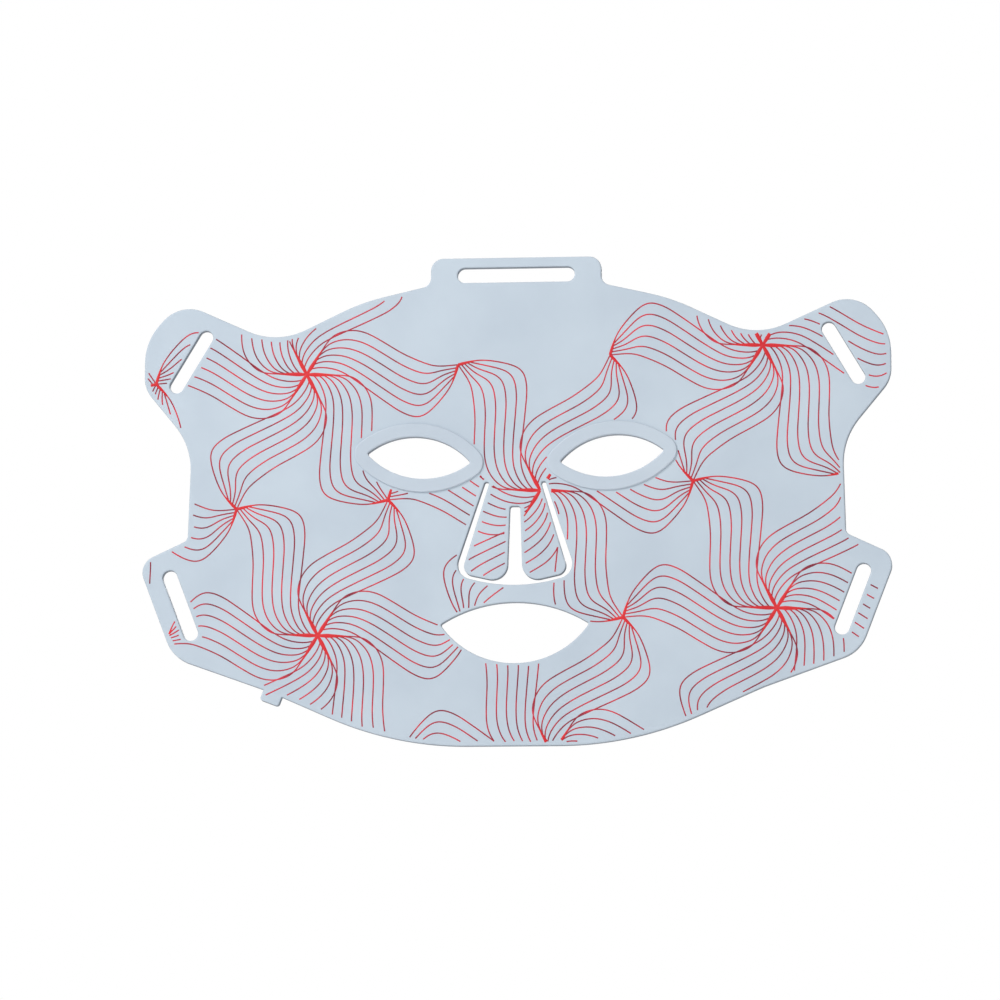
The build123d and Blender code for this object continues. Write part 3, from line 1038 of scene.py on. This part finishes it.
def drop_short_runs(marks):
    """Clears the runs of true marks that would print as specks."""
    changes = np.flatnonzero(np.diff(np.concatenate([[0], marks.astype(int), [0]])))
    for first, past in zip(changes[::2], changes[1::2]):
        if past - first < SHORTEST_RUN:
            marks[first:past] = False


def add_ribbon(vertices, faces, points, widths, height):
    """Adds a low closed strip with a flat top, its foot just below the sheet's face."""
    way = np.gradient(points, axis=0)
    way = way / np.linalg.norm(way, axis=1)[:, None]
    across = np.stack([-way[:, 1], way[:, 0]], axis=1)
    foot, top = FRONT + INK_FOOT, FRONT - height
    section = [(-0.5, foot), (-INK_TOP, top), (INK_TOP, top), (0.5, foot)]
    start = len(vertices)
    for point, side, width in zip(points, across, widths):
        for share, depth in section:
            x, z = point + side * share * width
            vertices.append((x, depth, z))
    for i in range(len(points) - 1):
        near, far = start + 4 * i, start + 4 * (i + 1)
        for k in range(4):
            following = (k + 1) % 4
            faces.append([near + k, near + following, far + following, far + k])
    last = start + 4 * (len(points) - 1)
    faces.append([start, start + 3, start + 2, start + 1])
    faces.append([last, last + 1, last + 2, last + 3])


def print_pieces():
    """Vertices and faces of the trimmed print, for each ink and region."""
    strokes = print_strokes()
    everything = np.concatenate([points for points, *_ in strokes])
    allowed, region = printable(everything), region_of(everything)
    shapes = {}
    at = 0
    for points, widths, height, paint in strokes:
        count = len(points)
        here, places = allowed[at:at + count], region[at:at + count]
        drop_short_runs(here)
        at += count
        start = 0
        while start < count:
            if not here[start]:
                start += 1
                continue
            end = start
            while end + 1 < count and here[end + 1] and places[end] == places[start]:
                end += 1
            if end > start:
                vertices, faces = shapes.setdefault((paint, int(places[start])), ([], []))
                run = slice(start, end + 1)
                add_ribbon(vertices, faces, points[run], widths[run], height)
            start = max(end, start + 1)
    return shapes


for (paint, index), (vertices, faces) in print_pieces().items():
    body = facet_bodies[index]
    strokes_piece = mesh_object(f"{paint}_{body}", vertices, faces, sharp=60.0)
    finished(strokes_piece, paint, body)


# ---------------- lights and lenses

# The rings of one light's pieces: half the sides of its housing, and radii. Phosphor rings
# have heights from the LED's top, and lens rings from the lens's foot and top.
RING_POINTS = 24
CORNER_POWER = 8
HOUSING_SIDES = (1.75, 1.4)
HOUSING_TOP_SIDES = (1.66, 1.31)
HOUSING_BEVEL = 0.12
CUP_RADIUS = 1.16
CUP_FLOOR_RADIUS = 0.98
CUP_DEPTH = 0.26
PHOSPHOR_RINGS = [(0.97, -0.25), (0.9, -0.19), (0.6, -0.14), (0.2, -0.12)]
LENS_FOOT_RINGS = [(2.9, 0.0), (2.97, 0.08)]
LENS_TOP_RINGS = [(2.97, -0.18), (2.85, -0.06), (2.3, -0.01), (1.2, 0.05), (0.3, 0.06)]


def turned_rings(vertices, faces, rings):
    """Adds a closed solid from rings of equal count, the first and last closed flat."""
    start, count = len(vertices), len(rings[0])
    for ring in rings:
        vertices += ring
    for level in range(len(rings) - 1):
        for i in range(count):
            j = (i + 1) % count
            low, high = start + level * count, start + (level + 1) * count
            faces.append([low + i, low + j, high + j, high + i])
    faces.append([start + i for i in reversed(range(count))])
    faces.append([start + (len(rings) - 1) * count + i for i in range(count)])


def round_ring(place, radius, depth):
    """A circle, from its middle in the flat sheet and its depth."""
    turns = 2 * math.pi * np.arange(RING_POINTS) / RING_POINTS
    return [(place[0] + radius * math.cos(t), depth, place[1] + radius * math.sin(t)) for t in turns]


def boxy_ring(place, half_x, half_z, depth):
    """A rectangle with rounded corners, in as many points as a round ring."""
    ring = []
    for turn in 2 * math.pi * np.arange(RING_POINTS) / RING_POINTS:
        c, s = math.cos(turn), math.sin(turn)
        spread = abs(c / half_x) ** CORNER_POWER + abs(s / half_z) ** CORNER_POWER
        reach = spread ** (-1 / CORNER_POWER)
        ring.append((place[0] + reach * c, depth, place[1] + reach * s))
    return ring


def housing_rings(place, foot, top):
    """Rings of an LED's housing, which has a cup in its top."""
    return [
        boxy_ring(place, *HOUSING_SIDES, foot),
        boxy_ring(place, *HOUSING_SIDES, top - HOUSING_BEVEL),
        boxy_ring(place, *HOUSING_TOP_SIDES, top),
        round_ring(place, CUP_RADIUS, top),
        round_ring(place, CUP_FLOOR_RADIUS, top - CUP_DEPTH),
    ]


for body in light_bodies:
    led_low, led_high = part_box("leds_" + body)
    foot, top = led_low.y / MM, led_high.y / MM
    lens_low, lens_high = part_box("lenses_" + body)
    lens_foot, lens_top = lens_low.y / MM, lens_high.y / MM
    lens_levels = [(radius, lens_foot + height) for radius, height in LENS_FOOT_RINGS]
    lens_levels += [(radius, lens_top + height) for radius, height in LENS_TOP_RINGS]
    phosphor_levels = [(radius, top + height) for radius, height in PHOSPHOR_RINGS]
    housings, phosphors, lenses = ([], []), ([], []), ([], [])
    for place in lights[body]:
        turned_rings(*housings, housing_rings(place, foot, top))
        turned_rings(*phosphors, [round_ring(place, *level) for level in phosphor_levels])
        turned_rings(*lenses, [round_ring(place, *level) for level in lens_levels])
    for name, shape, material, slot, replaced in (
            ("led_housings_", housings, "led_body", "led_body", "leds_"),
            ("led_phosphors_", phosphors, "led_phosphor", "led_body", None),
            ("domed_lenses_", lenses, "clear_lens", "clear_lens", "lenses_")):
        light_piece = mesh_object(name + body, *shape)
        hidden = replaced + body if replaced else None
        finished(light_piece, material, body, hidden, attach=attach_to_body)


# ---------------- CAD nodes that keep their shape

KEPT_NODES = {
    "flex_circuit_centre": "circuit_film",
    "flex_circuit_left_side": "circuit_film",
    "flex_circuit_right_side": "circuit_film",
    "inlet_shell": "socket_steel",
    "inlet_tongue": "socket_insulator",
    "inlet_contacts": "contact_metal",
    "driver_chip": "chip_body",
    "capacitors": "capacitor_ceramic",
}
for node, material in KEPT_NODES.items():
    node_mesh = frame["nodes"][node].data
    node_mesh.materials.clear()
    node_mesh.materials.append(materials[material])


# ---------------- studio and camera

# Sizes in metres. The floor glows less for the light that it gives than for the camera.
FLOOR_DROP = 0.45
FLOOR_RADIUS = 14.0
FLOOR_GLOW = (0.15, 0.3)
AMBIENT_LIGHT = 0.38
LIGHT_TARGET = (0, 0, -0.02)


def studio_floor():
    """A wide, plain, pale floor well below the mask."""
    work = bmesh.new()
    bmesh.ops.create_circle(work, cap_ends=True, cap_tris=True, segments=96, radius=FLOOR_RADIUS)
    bmesh.ops.translate(work, verts=work.verts, vec=(0, 0, cad_box[0].z - FLOOR_DROP))
    mesh = mesh_of("studio_floor", work)
    floor = placed("studio_floor", mesh)
    shade(mesh, sharp=60.0)
    paint = Paint("floor_paper", Specular_IOR_Level=0.2)
    paint.colour(paint.noise(400, 2), linear(236, 236, 236), linear(240, 240, 240))
    paint.roughness(paint.noise(60, 2), 0.75, 0.85)
    paint.shader.inputs["Emission Color"].default_value = (1, 1, 1, 1)
    seen = paint.nodes.new("ShaderNodeMapRange")
    seen.inputs["To Min"].default_value, seen.inputs["To Max"].default_value = FLOOR_GLOW
    path = paint.nodes.new("ShaderNodeLightPath")
    paint.links.new(path.outputs["Is Camera Ray"], seen.inputs["Value"])
    paint.links.new(seen.outputs["Result"], paint.shader.inputs["Emission Strength"])
    mesh.materials.append(paint.material)


def soft_light(name, place, size, power):
    """A round white light that faces the mask."""
    data = bpy.data.lights.new(name, "AREA")
    data.shape, data.size, data.energy = "DISK", size, power
    light = placed(name, data)
    light.location = place
    facing = Vector(LIGHT_TARGET) - Vector(place)
    light.rotation_euler = facing.to_track_quat("-Z", "Y").to_euler()


def white_surroundings():
    """A white background for the camera, and a dimmer even light from all round."""
    world = bpy.data.worlds.new("studio")
    bpy.context.scene.world = world
    world.use_nodes = True
    nodes, links = world.node_tree.nodes, world.node_tree.links
    seen, light = nodes["Background"], nodes.new("ShaderNodeBackground")
    seen.inputs["Color"].default_value = (1, 1, 1, 1)
    light.inputs["Color"].default_value = (0.97, 0.99, 1.0, 1)
    light.inputs["Strength"].default_value = AMBIENT_LIGHT
    choice, path = nodes.new("ShaderNodeMixShader"), nodes.new("ShaderNodeLightPath")
    links.new(path.outputs["Is Camera Ray"], choice.inputs["Fac"])
    links.new(light.outputs["Background"], choice.inputs[1])
    links.new(seen.outputs["Background"], choice.inputs[2])
    links.new(choice.outputs["Shader"], nodes["World Output"].inputs["Surface"])


def camera_at(target, azimuth, elevation, distance, view_width, roll):
    """Camera that sees a given width at its target, from angles in degrees."""
    around, up = math.radians(azimuth), math.radians(elevation)
    back = Vector((math.sin(around) * math.cos(up), -math.cos(around) * math.cos(up), math.sin(up)))
    data = bpy.data.cameras.new("camera")
    data.lens = data.sensor_width * distance / view_width
    data.clip_start, data.clip_end = 0.01, 50
    camera = placed("camera", data)
    camera.location = Vector(target) + back * distance
    facing = (-back).to_track_quat("-Z", "Y").to_matrix()
    camera.rotation_euler = (facing @ Matrix.Rotation(math.radians(roll), 3, "Z")).to_euler()
    bpy.context.scene.camera = camera


studio_floor()
white_surroundings()
soft_light("key_light", place=(-1.0, -1.35, 1.1), size=1.1, power=26.5)
soft_light("fill_light", place=(0.9, -1.5, 0.1), size=1.2, power=2.2)
soft_light("back_light", place=(0.3, 1.6, 0.9), size=1.4, power=20)
camera_at(target=(-0.0064, 0, -0.0167), azimuth=6, elevation=-9, distance=2.5,
          view_width=0.3978, roll=0.25)
bpy.context.scene.view_settings.view_transform = "Standard"
